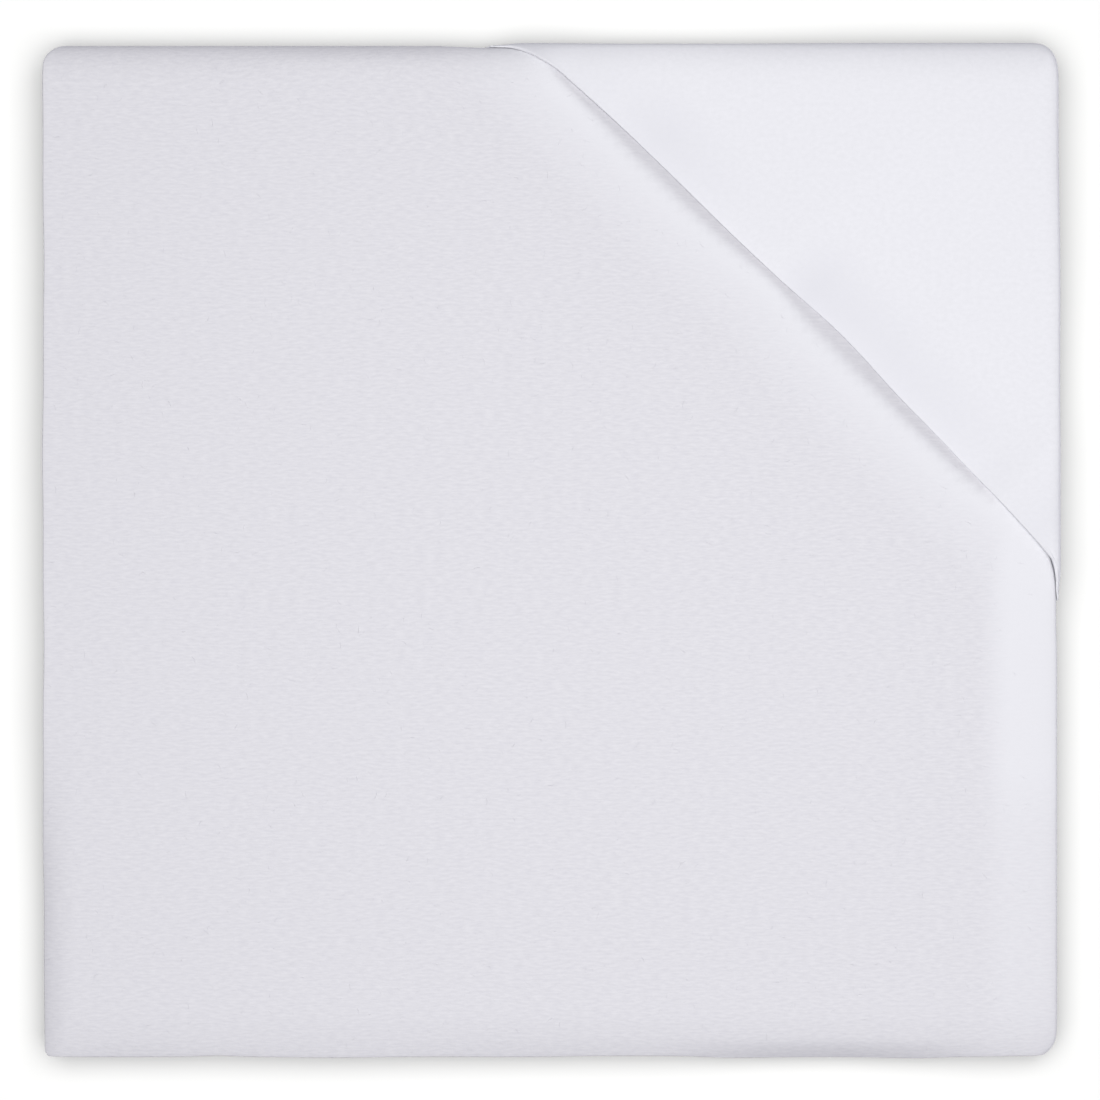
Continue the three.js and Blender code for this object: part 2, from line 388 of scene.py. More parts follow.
@dataclass
class ClothSheet:
    """A cloth of even thickness with soft cut edges, made from the grid of its middle surface."""

    name: str
    thickness: float
    edge_round: float
    rim_angles: ClassVar[tuple[int, ...]] = (30, 60, 90, 90, 60, 30)

    def grid(self) -> SheetGrid:
        """Middle surface of the cloth."""
        raise NotImplementedError

    def normals(self, points: np.ndarray) -> np.ndarray:
        """Direction of the cloth's face at each point of its grid, each facet round it counting the same."""
        faces = np.cross(points[1:, 1:] - points[:-1, :-1], points[1:, :-1] - points[:-1, 1:])
        faces = unit(faces)
        total = np.zeros_like(points)
        for rows in (slice(None, -1), slice(1, None)):
            for columns in (slice(None, -1), slice(1, None)):
                total[rows, columns] += faces
        return unit(total)

    def rim(
        self, index: np.ndarray, points: np.ndarray, normals: np.ndarray, kept: np.ndarray
    ) -> tuple[np.ndarray, np.ndarray]:
        """Rings of points that round the cut edge, from the upper face to the lower one.

        Args:
            index: number of each grid point.
            points: the middle surface, one point a row.
            normals: its directions, one a row.
            kept: the share of the thickness at each point.

        Returns:
            The numbers of the points round the grid, and the rings outside them.
        """
        loop = np.concatenate([index[0, :-1], index[:-1, -1], index[-1, :0:-1], index[:0:-1, 0]])
        edge, face = points[loop], normals[loop]
        ahead = np.roll(edge, -1, axis=0) - np.roll(edge, 1, axis=0)
        outward = unit(np.cross(ahead, face))
        half, radius = self.thickness / 2, self.edge_round
        rings = []
        for angle in self.rim_angles:
            level = half - radius + radius * math.cos(math.radians(angle))
            level = level if len(rings) < len(self.rim_angles) // 2 else -level
            rise = face * level * kept[loop][:, None]
            rings.append(edge + outward * radius * math.sin(math.radians(angle)) + rise)
        return loop, np.stack(rings)

    def build(self) -> bpy.types.Object:
        """Make the closed cloth, with its cut pattern and its marks.

        Returns:
            The finished object.
        """
        grid = self.grid()
        rows, columns = grid.points.shape[:2]
        count = rows * columns
        index = np.arange(count).reshape(rows, columns)
        normals = self.normals(grid.points).reshape(-1, 3)
        middle = grid.points.reshape(-1, 3)
        kept = grid.kept.reshape(-1)
        loop, rings = self.rim(index, middle, normals, kept)
        half = normals * (kept * self.thickness / 2)[:, None]
        points = np.concatenate([middle + half, middle - half, rings.reshape(-1, 3)])
        source = np.concatenate([np.arange(count), np.arange(count), np.tile(loop, len(rings))])
        quads = grid_facets(index)
        bands = [loop, *(2 * count + len(loop) * ring + np.arange(len(loop)) for ring in range(len(rings)))]
        bands.append(count + loop)
        strips = [
            np.stack([near, far, np.roll(far, -1), np.roll(near, -1)], axis=-1) for near, far in zip(bands, bands[1:])
        ]
        faces = np.concatenate([quads, quads[:, ::-1] + count, *strips])
        mesh = bpy.data.meshes.new(self.name)
        mesh.from_pydata((points * MM).tolist(), [], faces.tolist())
        mesh.shade_smooth()
        corners = np.empty(len(mesh.loops), dtype=np.int32)
        mesh.loops.foreach_get("vertex_index", corners)
        pattern = mesh.uv_layers.new(name="cut")
        pattern.data.foreach_set("uv", (grid.cut.reshape(-1, 2)[source[corners]] * MM).ravel())
        for mark, values in grid.marks.items():
            layer = mesh.attributes.new(mark.value, "FLOAT", "POINT")
            layer.data.foreach_set("value", values.astype(np.float32).ravel()[source])
        return put_in_scene(self.name, mesh)


@dataclass(frozen=True)
class Turn:
    """One turn of the panel at a side of the pack."""

    side: int
    start: int
    end: int
    setback: float
    length: float
    facets: int
    fullness: float = 2.0


@dataclass
class FoldedPanel(ClothSheet):
    """The panel, halved twice across, which makes four plies, and once along, which makes eight."""

    plan: PackPlan = None
    relief: Relief = None
    spine_length: float = 13.0
    spine_facets: int = 24
    turns: tuple[Turn, ...] = (
        Turn(side=1, start=3, end=0, setback=0, length=7.0, facets=26, fullness=4.0),
        Turn(side=-1, start=0, end=1, setback=0.9, length=0.8, facets=9),
        Turn(side=1, start=1, end=2, setback=4.0, length=0.8, facets=9),
    )
    outer_steps: int = 124
    inner_step: float = 9.5
    inner_steps: int = 14
    end_steps: int = 3
    inner_hem: float = 0.6
    inner_spread: float = 7.0
    inner_press: float = 1.4
    turn_press: float = 0.25
    side_swell: float = 0.4
    side_pinch: float = 2.1
    spine_tight: float = 0.38
    spine_swell: float = 0.5
    upper_ends: tuple[float, ...] = (0.9, 0.5, 0.7, 0.2)
    lower_ends: tuple[float, ...] = (0.6, 1.0, 0.3, 0.0)
    corner_radii: dict[tuple[int, int], float] = field(
        default_factory=lambda: {(-1, 1): 6.5, (1, 1): 8.6, (1, -1): 7.4, (-1, -1): 3.0}
    )

    def section(self) -> tuple[np.ndarray, np.ndarray, np.ndarray, np.ndarray]:
        """Centre line of the four plies across the pack.

        Returns:
            The place across, the distance from the pack's middle, the length run so far, and the
            place that an inner turn shrinks towards where the plies are squeezed together.
        """
        plan = self.plan
        across, out, pivot = [], [], []
        x = plan.left
        for turn in self.turns:
            edge = plan.right if turn.side > 0 else plan.left
            centre = edge - turn.side * (turn.setback + turn.length + plan.cloth / 2)
            outer = turn.start == plan.plies - 1
            run = np.linspace(x, centre, self.outer_steps + 1) if outer else self.inner_places(x, centre)
            across.extend(run)
            pivot.extend(run)
            out.extend([plan.ply(turn.start)] * len(run))
            rise = (plan.ply(turn.end) - plan.ply(turn.start)) / 2
            angles = np.pi * np.arange(1, turn.facets) / turn.facets
            power = 2 / turn.fullness
            bend = centre + turn.side * turn.length * np.sin(angles) ** power
            across.extend(bend)
            pivot.extend(bend if outer else [centre] * len(bend))
            out.extend(plan.ply(turn.start) + rise * (1 - np.sign(np.cos(angles)) * np.abs(np.cos(angles)) ** power))
            x = centre
        run = self.inner_places(x, plan.left + self.inner_hem)
        across.extend(run)
        pivot.extend(run)
        out.extend([plan.ply(self.turns[-1].end)] * len(run))
        across, out = np.array(across), np.array(out)
        length = np.concatenate([[0], np.cumsum(np.hypot(np.diff(across), np.diff(out)))])
        return across, out, length, np.array(pivot)

    def inner_places(self, start: float, end: float) -> np.ndarray:
        """Places along an inner ply, which shares its middle ones with the others so that no plies cross.

        Args:
            start: where the ply starts.
            end: where it ends.

        Returns:
            The places, closer together near both ends.
        """
        way = 1 if end > start else -1
        shared = way * self.inner_step * np.arange(-self.inner_steps, self.inner_steps + 1)
        return np.concatenate(
            [
                np.linspace(start, shared[0], self.end_steps, endpoint=False),
                shared,
                np.linspace(end, shared[-1], self.end_steps, endpoint=False)[::-1],
            ]
        )

    def stations(self) -> tuple[np.ndarray, np.ndarray]:
        """Places along the pack's long fold: the upper half, the spine, and the lower half back.

        Returns:
            The place along and the angle turned so far, one of each for a row.
        """
        plan = self.plan
        centre = plan.back - self.spine_length
        upper = graded(plan.front, centre, 3.2, 1.1, 10)
        lower = graded(centre, plan.front, 9.5, 3, 8)
        spine = np.pi * np.arange(1, self.spine_facets) / self.spine_facets
        places = np.concatenate([upper, np.full(len(spine), centre), lower])
        angles = np.concatenate([np.zeros(len(upper)), spine, np.full(len(lower), np.pi)])
        return places, angles

    def spine_reach(self, out: np.ndarray) -> np.ndarray:
        """How far a ply reaches past the spine's centre, by its distance from the middle."""
        first, last = self.plan.ply(0), self.plan.ply(self.plan.plies - 1)
        outermost = self.spine_length - self.plan.cloth / 2
        return out + (out - first) * (outermost - last) / (last - first)

    def corner_inset(self, x: np.ndarray, y: np.ndarray) -> np.ndarray:
        """How far the rounded corners draw the side of the pack in."""
        plan = self.plan
        inset = np.zeros_like(x)
        for (side, end), radius in self.corner_radii.items():
            edge = plan.right if side > 0 else plan.left
            tip = plan.back if end > 0 else plan.front
            reach = np.clip(radius - end * (tip - y), 0, radius)
            depth = radius - np.sqrt(np.maximum(radius**2 - reach**2, 0))
            near = np.clip(1 - side * (edge - x) / 40, 0, 1)
            inset = inset - side * depth * near
        return inset

    def hem_shift(self, x: np.ndarray, out: np.ndarray, upper: np.ndarray) -> np.ndarray:
        """How far each ply stops short at the open front end."""
        levels = [self.plan.ply(number) for number in range(self.plan.plies)]
        short = np.where(upper, np.interp(out, levels, self.upper_ends), np.interp(out, levels, self.lower_ends))
        wave = 0.13 * np.sin(x / 9.5 + out * 2.1) + 0.10 * np.sin(x / 23 - out)
        step = 0.25 * (ramp(x, -106, -101) - ramp(x, -97, -92))
        long = 0.55 * ramp(x, 38, 54) * (1 - ramp(x, 108, 124))
        return short + wave + step - long + 0.2 + self.edge_round

    def bare_face(self, panel: bpy.types.Object) -> bpy.types.Mesh:
        """Copy the part of the finished panel's upper face that the pocket leaves bare.

        Args:
            panel: the finished panel.

        Returns:
            A mesh of that face alone.
        """
        _, angles = self.stations()
        columns = len(self.section()[0])
        rows = np.count_nonzero(angles < np.pi / 3)
        index = np.arange(rows * columns).reshape(rows, columns)[:, : self.outer_steps + 1]
        points = np.empty(len(panel.data.vertices) * 3)
        panel.data.vertices.foreach_get("co", points)
        points = points.reshape(-1, 3)
        quads = grid_facets(index)
        middle = points[quads].mean(axis=1) / MM
        quads = quads[self.relief.edge.distance(middle[:, 0], middle[:, 1]) > 2]
        used, numbers = np.unique(quads, return_inverse=True)
        face = bpy.data.meshes.new("bare_face")
        face.from_pydata(points[used].tolist(), [], numbers.reshape(-1, 4).tolist())
        return face

    def steepness(self, x: np.ndarray, y: np.ndarray, spread: np.ndarray) -> np.ndarray:
        """How fast the pack's height share changes at a place, for each millimetre of way."""
        ahead = 0.5
        across = self.relief.share(x + ahead, y, spread) - self.relief.share(x - ahead, y, spread)
        along = self.relief.share(x, y + ahead, spread) - self.relief.share(x, y - ahead, spread)
        return np.hypot(across, along) / (2 * ahead)

    def grid(self) -> SheetGrid:
        """Middle surface of the panel, folded."""
        plan = self.plan
        across, out, run, pivot = self.section()
        places, angles = self.stations()
        n, station, angle = out[None, :], places[:, None], angles[:, None]
        x = np.broadcast_to(across[None, :], (len(places), len(across))).copy()
        run = np.broadcast_to(run[None, :], x.shape).copy()
        last = across[self.outer_steps]
        level = places + self.spine_length * np.sin(angles)
        level = np.where(angles > np.pi / 2, plan.back, np.clip(level, -12, plan.back)) - 2
        crossing = np.clip(self.relief.edge.line(147 - 2 * level) - level, -8, last - 9)
        x[:, : self.outer_steps + 1] = focused(plan.left, last, self.outer_steps, crossing)
        run[:, : self.outer_steps + 1] = x[:, : self.outer_steps + 1] - plan.left
        upper = np.broadcast_to(angle < np.pi / 2, x.shape)
        y = station + self.spine_reach(n) * np.sin(angle)
        near_front = np.clip(1 - (station - plan.front) / 14, 0, 1)
        y = y + self.hem_shift(x, np.broadcast_to(n, x.shape), upper) * near_front
        near_left = np.clip(1 - (x - plan.left) / 20, 0, 1)
        wave = 0.22 + 0.16 * np.sin(y / 17 + n * 1.7) + 0.08 * np.sin(y / 6.1)
        x = x + near_left * (wave + self.edge_round)
        bare_side, bare_spine = 1 - ramp(y, -34, -17), 1 - ramp(x, -36, -19)
        x = x + self.side_swell * bare_side * np.clip(1 + (x - plan.right) / 20, 0, 1)
        y = y + self.spine_swell * bare_spine * np.clip(1 + (y - plan.back) / 20, 0, 1)
        x = x + self.corner_inset(x, y) - self.relief.taper(y) * np.clip(1 + (x - plan.right) / 40, 0, 1)
        pinch = self.side_pinch * np.exp(-(((y - 0.5) / 6.2) ** 2))
        x = x - pinch * np.clip(1 + (x - plan.right) / 14, 0, 1)
        behind = plan.back - y
        tight = self.spine_tight * (0.2 + 0.8 * ramp(x, -98, -72)) * bare_spine
        y = y + tight * behind * np.exp(-((behind / 16) ** 2))
        z = plan.middle + n * np.cos(angle)
        inner = np.clip((plan.ply(plan.plies - 1) - n) / plan.pitch, 0, 1)
        share = self.relief.share(x, y, self.inner_spread * inner)
        slope = z * self.steepness(x, y, self.inner_spread * inner)
        x = x - (across - pivot) * (1 - share)
        z = z * share
        turned = self.spine_reach(out).mean() * angles
        along = np.concatenate([[0], np.cumsum(np.abs(np.diff(places)))]) + turned
        cut = np.stack([run, np.broadcast_to(along[:, None], x.shape)], axis=-1)
        top = upper & (n > plan.ply(1.5))
        # Painted highlight on the top plies, beside the crease and along the right-hand fold.
        painted_light = self.relief.painted_light(x, y) * top
        worn = ramp(y, plan.back - self.spine_length * 1.3, plan.back - self.spine_length * 0.3)
        sunk = self.relief.valley(x, y, self.inner_spread * inner) * inner / plan.height
        kept = (plan.pitch * share / np.hypot(1, slope) - 0.05 - self.inner_press * sunk) / plan.cloth
        kept = np.clip(kept, 0.2, 1) * (1 - self.turn_press * np.clip(np.abs(across - pivot), 0, 1))
        return SheetGrid(np.stack([x, y, z], axis=-1), cut, kept, {Mark.PAINTED_LIGHT: painted_light, Mark.WORN: worn})


@dataclass
class CornerPocket(ClothSheet):
    """The pocket: one corner of the side cloth, turned over the pack's rear right corner."""

    plan: PackPlan = None
    relief: Relief = None
    clearance: float = 0.38
    columns: int = 131
    rows: int = 108
    corner_power: float = 3.2
    spine_roll: tuple[float, float] = (13.6, 7.1)
    side_roll: tuple[float, float] = (8.4, 4.8)
    least_standoff: float = 0.4
    least_kept: float = 0.5
    spine_end: tuple[tuple[float, float], ...] = (
        (6.2, 138.6), (1.8, 142.5), (-3.0, 145.6), (-6.6, 147.6), (-10.1, 149.0), (-13.0, 149.7), (-16.5, 150.04)
    )
    side_end: tuple[tuple[float, float], ...] = (
        (146.6, -0.9), (148.0, -2.7), (148.8, -4.8), (149.2, -7.2), (149.5, -9.6), (149.8, -12.0), (150.19, -14.6)
    )
    least_under: float = 1.45
    ease_rounds: int = 16
    trail: float = 7.0
    dips: tuple[tuple[float, tuple[float, float], tuple[float, float]], ...] = (
        (0.22, (92, 16), (80, 14)), (0.2, (122, 12), (34, 18))
    )
    hem_height: float = 0.85
    end_share: float = 0.25
    edge_points: int = 800
    top_points: int = 500
    wall_points: int = 20
    roll_points: int = 60
    flank_points: int = 199
    corner_points: int = 160
    corner_weight: float = 5.0
    edge_kept: float = 0.5
    # Painted shade beside the pocket's free edge: its strength at places along the diagonal, x - y.
    edge_shade_places: tuple[float, ...] = (-150, -114, -90, -60, -42, -18, 0, 18, 60, 84, 100, 118, 138, 150)
    edge_shade_shares: tuple[float, ...] = (0.4, 0.3, 0.85, 0.4, 0.1, 0, 1, 0.85, 0.65, 0.55, 0.3, 0.1, 0.5, 0)

    @property
    def standoff(self) -> float:
        """Distance from the pack's surface to the middle of the pocket's cloth."""
        return self.clearance + self.thickness / 2

    @property
    def outer_right(self) -> float:
        """Widest place of the pocket's middle surface at the side."""
        return self.plan.right + self.standoff

    @property
    def outer_back(self) -> float:
        """Widest place of the pocket's middle surface at the spine."""
        return self.plan.back + self.standoff

    def normals(self, points: np.ndarray) -> np.ndarray:
        """Direction of the cloth's face, evened out at both ends, where the grid's runs bunch up."""
        made = super().normals(points)
        column = np.arange(points.shape[1])
        amount = 1 - ramp(np.minimum(column, column[::-1]), 4, 12)[None, :, None]
        for _ in range(10):
            wide = np.pad(made, ((1, 1), (1, 1), (0, 0)), mode="edge")
            mean = (wide[:-2, 1:-1] + wide[2:, 1:-1] + wide[1:-1, :-2] + wide[1:-1, 2:]) / 4
            made = made + (mean - made) * amount
        return unit(made)

    def roll_share(self, x: np.ndarray, y: np.ndarray) -> tuple[np.ndarray, np.ndarray]:
        """How far round its rolls a place is, and how much of that is the spine's.

        Args:
            x: places across.
            y: places along.

        Returns:
            A share from 0 on the flat top to 1 at the outline, and the spine's part in it.
        """
        side = np.clip((x + self.relief.taper(y) - self.outer_right) / self.side_roll[0] + 1, 0, 1)
        spine = np.clip((y - self.outer_back) / self.spine_roll[0] + 1, 0, 1)
        power = self.corner_power
        total = side**power + spine**power
        part = np.where(total > 1e-9, spine**power / np.maximum(total, 1e-9), 0.5)
        return np.clip(total ** (1 / power), 0, 1), part

    def roll_depth(self, part: np.ndarray) -> np.ndarray:
        """Fall of the upper roll from the top to the outline."""
        return self.side_roll[1] + (self.spine_roll[1] - self.side_roll[1]) * part

    def roll_power(self, part: float | np.ndarray) -> float | np.ndarray:
        """How full a roll is: round at the spine and boxier at the side."""
        return 2 + 1.7 * (1 - part)

    def roll_fall(self, share: np.ndarray, part: np.ndarray) -> np.ndarray:
        """Fall at a share of the way round a roll."""
        power = self.roll_power(part)
        return self.roll_depth(part) * (1 - np.maximum(1 - share**power, 0) ** (1 / power))

    def top_height(self, x: np.ndarray, y: np.ndarray) -> np.ndarray:
        """Height of the pocket's middle surface over a place."""
        share, part = self.roll_share(x, y)
        sink = self.relief.valley(x, y)
        dip = 0.0
        for depth, (left, wide), (ahead, long) in self.dips:
            dip = dip + depth * np.exp(-(((x - left) / wide) ** 2) - (((y - ahead) / long) ** 2))
        lost = (sink + dip + self.relief.rear_slump(x, y)) / self.plan.height
        return (self.plan.height - 0.1 - self.roll_fall(share, part)) * (1 - lost) + self.standoff

    def free_edge(self, shares: np.ndarray) -> np.ndarray:
        """Places of the free edge on the pack's top, by its share of the way across."""
        first, last = np.array(self.spine_end[0]), np.array(self.side_end[0])
        place = np.linspace(first[0] - first[1], last[0] - last[1], self.edge_points)
        total = self.relief.edge.line(place)
        points = np.stack([(total + place) / 2, (total - place) / 2], axis=-1)
        blend = np.linspace(0, 1, self.edge_points)[:, None]
        points = points + (first - points[0]) * (1 - blend) ** 6 + (last - points[-1]) * blend**6
        return along_line(points, shares)

    def outline(self, shares: np.ndarray) -> np.ndarray:
        """Places of the pocket's outline, from above the spine round the corner to the side."""
        start, end = self.spine_end[-1][0], self.side_end[-1][1]
        bend = np.linspace(np.pi / 2, 0, self.corner_points)
        side = np.sign(np.cos(bend)) * np.abs(np.cos(bend)) ** (2 / self.corner_power)
        spine = np.abs(np.sin(bend)) ** (2 / self.corner_power)
        across = self.outer_right - self.side_roll[0] * (1 - side)
        along = self.outer_back - self.spine_roll[0] * (1 - spine)
        corner, count = np.stack([across, along], axis=-1), self.flank_points
        rear = np.stack([np.linspace(start, across[0], count + 1)[:-1], np.full(count, self.outer_back)], axis=-1)
        flank = np.stack([np.full(count, self.outer_right), np.linspace(along[-1], end, count + 1)[1:]], axis=-1)
        points = np.concatenate([rear, corner, flank])
        points[:, 0] -= self.relief.taper(points[:, 1])
        weight = np.ones(len(points) - 1)
        weight[count : count + self.corner_points - 1] = self.corner_weight
        return along_line(points, shares, weight)

    def column(self, share: float, edge: np.ndarray, outer: np.ndarray) -> np.ndarray:
        """One run of the cloth from its free edge over the roll to the ground, in fine steps.

        Args:
            share: how far from the spine's end to the side's end the run is.
            edge: where it starts on the free edge.
            outer: where it meets the outline.

        Returns:
            Points along the run.
        """
        steps = 1 - (1 - np.linspace(0, 1, self.top_points)) ** 1.8
        straight = edge + (outer - edge) * steps[:, None]
        spine = along_line(rounded_line(self.spine_end), steps)
        side = along_line(rounded_line(self.side_end), steps)
        spine = spine - (spine[0] + (spine[-1] - spine[0]) * steps[:, None])
        side = side - (side[0] + (side[-1] - side[0]) * steps[:, None])
        near_spine, near_side = (max(0.0, 1 - way / self.end_share) ** 3 for way in (share, 1 - share))
        plan = straight + spine * near_spine + side * near_side
        top = np.column_stack([plan, self.top_height(plan[:, 0], plan[:, 1])])
        last = top[-1]
        _, part = self.roll_share(np.array([outer[0]]), np.array([outer[1]]))
        part = float(part[0])
        depth = float(self.roll_depth(np.array([part]))[0])
        length = self.side_roll[0] + (self.spine_roll[0] - self.side_roll[0]) * part
        inward = np.array([-(1 - part), -part])
        inward = inward / np.linalg.norm(inward)
        low = min(last[2], 2 * self.plan.middle - last[2])
        depth = max(depth, self.least_under * (low - self.hem_height))
        under = np.arcsin(np.clip((low - self.hem_height) / depth, 0, 1))
        turn = np.linspace(0, under, self.roll_points)
        wall = np.linspace(last[2], low, self.wall_points)
        heights = np.concatenate([wall[1:], low - depth * np.sin(turn[1:])])
        power = self.roll_power(part)
        tucked = 1 - (1 - np.sin(turn[1:]) ** power) ** (1 / power)
        set_in = np.concatenate([np.zeros(self.wall_points - 1), length * tucked])
        drawn = np.linspace(0, 1, len(heights)) ** 1.5 * self.trail
        along = np.array([-1.0, 0.0]) * near_spine + np.array([0.0, -0.35]) * near_side
        lower = last[:2] + inward * set_in[:, None] + along * drawn[:, None]
        return np.concatenate([top, np.column_stack([lower, heights])])

    def end_closing(self, shares: np.ndarray, points: np.ndarray) -> tuple[np.ndarray, np.ndarray]:
        """How the two ends of the pocket thin out against the pack.

        Args:
            shares: the share of the way across of each column.
            points: the grid as it stands clear of the pack.

        Returns:
            How far each point is closed against the pack, from 0 to 1, and how far it moves outwards.
        """
        x, y = points[..., 0], points[..., 1]
        near_spine = (1 - ramp(shares, 0, 0.1)) * ramp(-x, 9, 17)
        near_side = 1 - ramp(1 - shares, 0, 0.1)
        closing = np.maximum(near_spine, near_side * ramp(-y, 6.5, 12.5))
        return closing, -(self.standoff - self.least_standoff) * closing

    def ease(self, points: np.ndarray, shares: np.ndarray) -> None:
        """Even out the grid where its runs bunch up: at the side's end and under the corner.

        Args:
            points: the grid, which is changed in place.
            shares: the share of the way across of each column.
        """
        side = ramp(shares, 0.88, 0.94)[None, 1:-1, None]
        down = ramp(np.arange(self.rows) / self.rows, 0.82, 0.9)[1:-1, None, None]
        corner = down * (ramp(shares, 0.36, 0.42) * (1 - ramp(shares, 0.55, 0.62)))[None, 1:-1, None]
        amount = 0.8 * np.maximum(side, corner)
        for _ in range(self.ease_rounds):
            inner = points[1:-1, 1:-1]
            mean = (points[1:-1, :-2] + points[1:-1, 2:] + points[:-2, 1:-1] + points[2:, 1:-1]) / 4
            points[1:-1, 1:-1] = inner + (mean - inner) * amount
        level = 1 - ramp(np.arange(self.rows) / self.rows, 0.37, 0.55)
        points[:, -1, 2] += (2 * points[:, -2, 2] - points[:, -3, 2] - points[:, -1, 2]) * level

    def grid(self) -> SheetGrid:
        """Middle surface of the pocket, from its free edge to the ground."""
        shares = np.linspace(0, 1, self.columns)
        edges, outers = self.free_edge(shares), self.outline(shares)
        points, cut = [], []
        for share, edge, outer in zip(shares, edges, outers):
            run = self.column(share, edge, outer)
            steps = np.linalg.norm(np.diff(run, axis=0), axis=1)
            round_share, _ = self.roll_share(run[1:, 0], run[1:, 1])
            weight = 1 + 5 * ramp(round_share, 0.02, 0.25)
            placed = along_line(run, np.linspace(0, 1, self.rows), weight)
            points.append(placed)
            drop = np.concatenate([[0], np.cumsum(np.linalg.norm(np.diff(placed, axis=0), axis=1))])
            way = (outer - edge) / max(np.linalg.norm(outer - edge), 1e-6)
            cut.append(edge + way * drop[:, None])
        points, cut = np.stack(points, axis=1), np.stack(cut, axis=1)
        self.ease(points, shares)
        closing, moved = self.end_closing(shares, points)
        inward = -self.relief.edge.distance(points[..., 0], points[..., 1])
        place = points[..., 0] - points[..., 1]
        thin = (1 - self.edge_kept) * (1 - ramp(inward, 0, 5)) * ramp(shares, 0.05, 0.16) * (1 - ramp(place, 96, 114))
        moved = moved - thin * self.thickness / 2 * (1 - closing)
        points = points + self.normals(points) * moved[..., None]
        kept = np.minimum(1 - (1 - self.least_kept) * closing, 1 - thin)
        share, _ = self.roll_share(points[..., 0], points[..., 1])
        # Painted shade: a darker tone on the pocket near its free edge, by place along the diagonal.
        painted_light = np.interp(place, self.edge_shade_places, self.edge_shade_shares) * (1 - ramp(inward, 4, 24))
        worn = ramp(share, 0, 0.8) * 0.4
        return SheetGrid(points, cut, kept, {Mark.PAINTED_LIGHT: painted_light, Mark.WORN: worn})


def rounded_line(corners: tuple[tuple[float, float], ...]) -> np.ndarray:
    """Smooth line through a few places, which passes each of them.

    Args:
        corners: the places, in order.

    Returns:
        Points close together along the line.
    """
    points = np.array(corners)
    padded = np.vstack([2 * points[0] - points[1], points, 2 * points[-1] - points[-2]])
    share = np.linspace(0, 1, 25)[:, None]
    parts = []
    for a, b, c, d in zip(padded, padded[1:], padded[2:], padded[3:]):
        bend = (2 * a - 5 * b + 4 * c - d) * share**2 + (3 * b - a - 3 * c + d) * share**3
        parts.append((b + 0.5 * ((c - a) * share + bend))[:-1])
    return np.vstack([*parts, points[-1]])


def along_line(points: np.ndarray, shares: np.ndarray, weight: np.ndarray | None = None) -> np.ndarray:
    """Places on a line of points by their share of its length.

    Args:
        points: the line, one point a row.
        shares: from 0 at its start to 1 at its end.
        weight: how much each of its steps counts, or none for even steps.

    Returns:
        One point for each share.
    """
    steps = np.linalg.norm(np.diff(points, axis=0), axis=1)
    steps = steps if weight is None else steps * weight
    run = np.concatenate([[0], np.cumsum(steps)])
    wanted = shares * run[-1]
    return np.stack([np.interp(wanted, run, points[:, axis]) for axis in range(points.shape[1])], axis=-1)


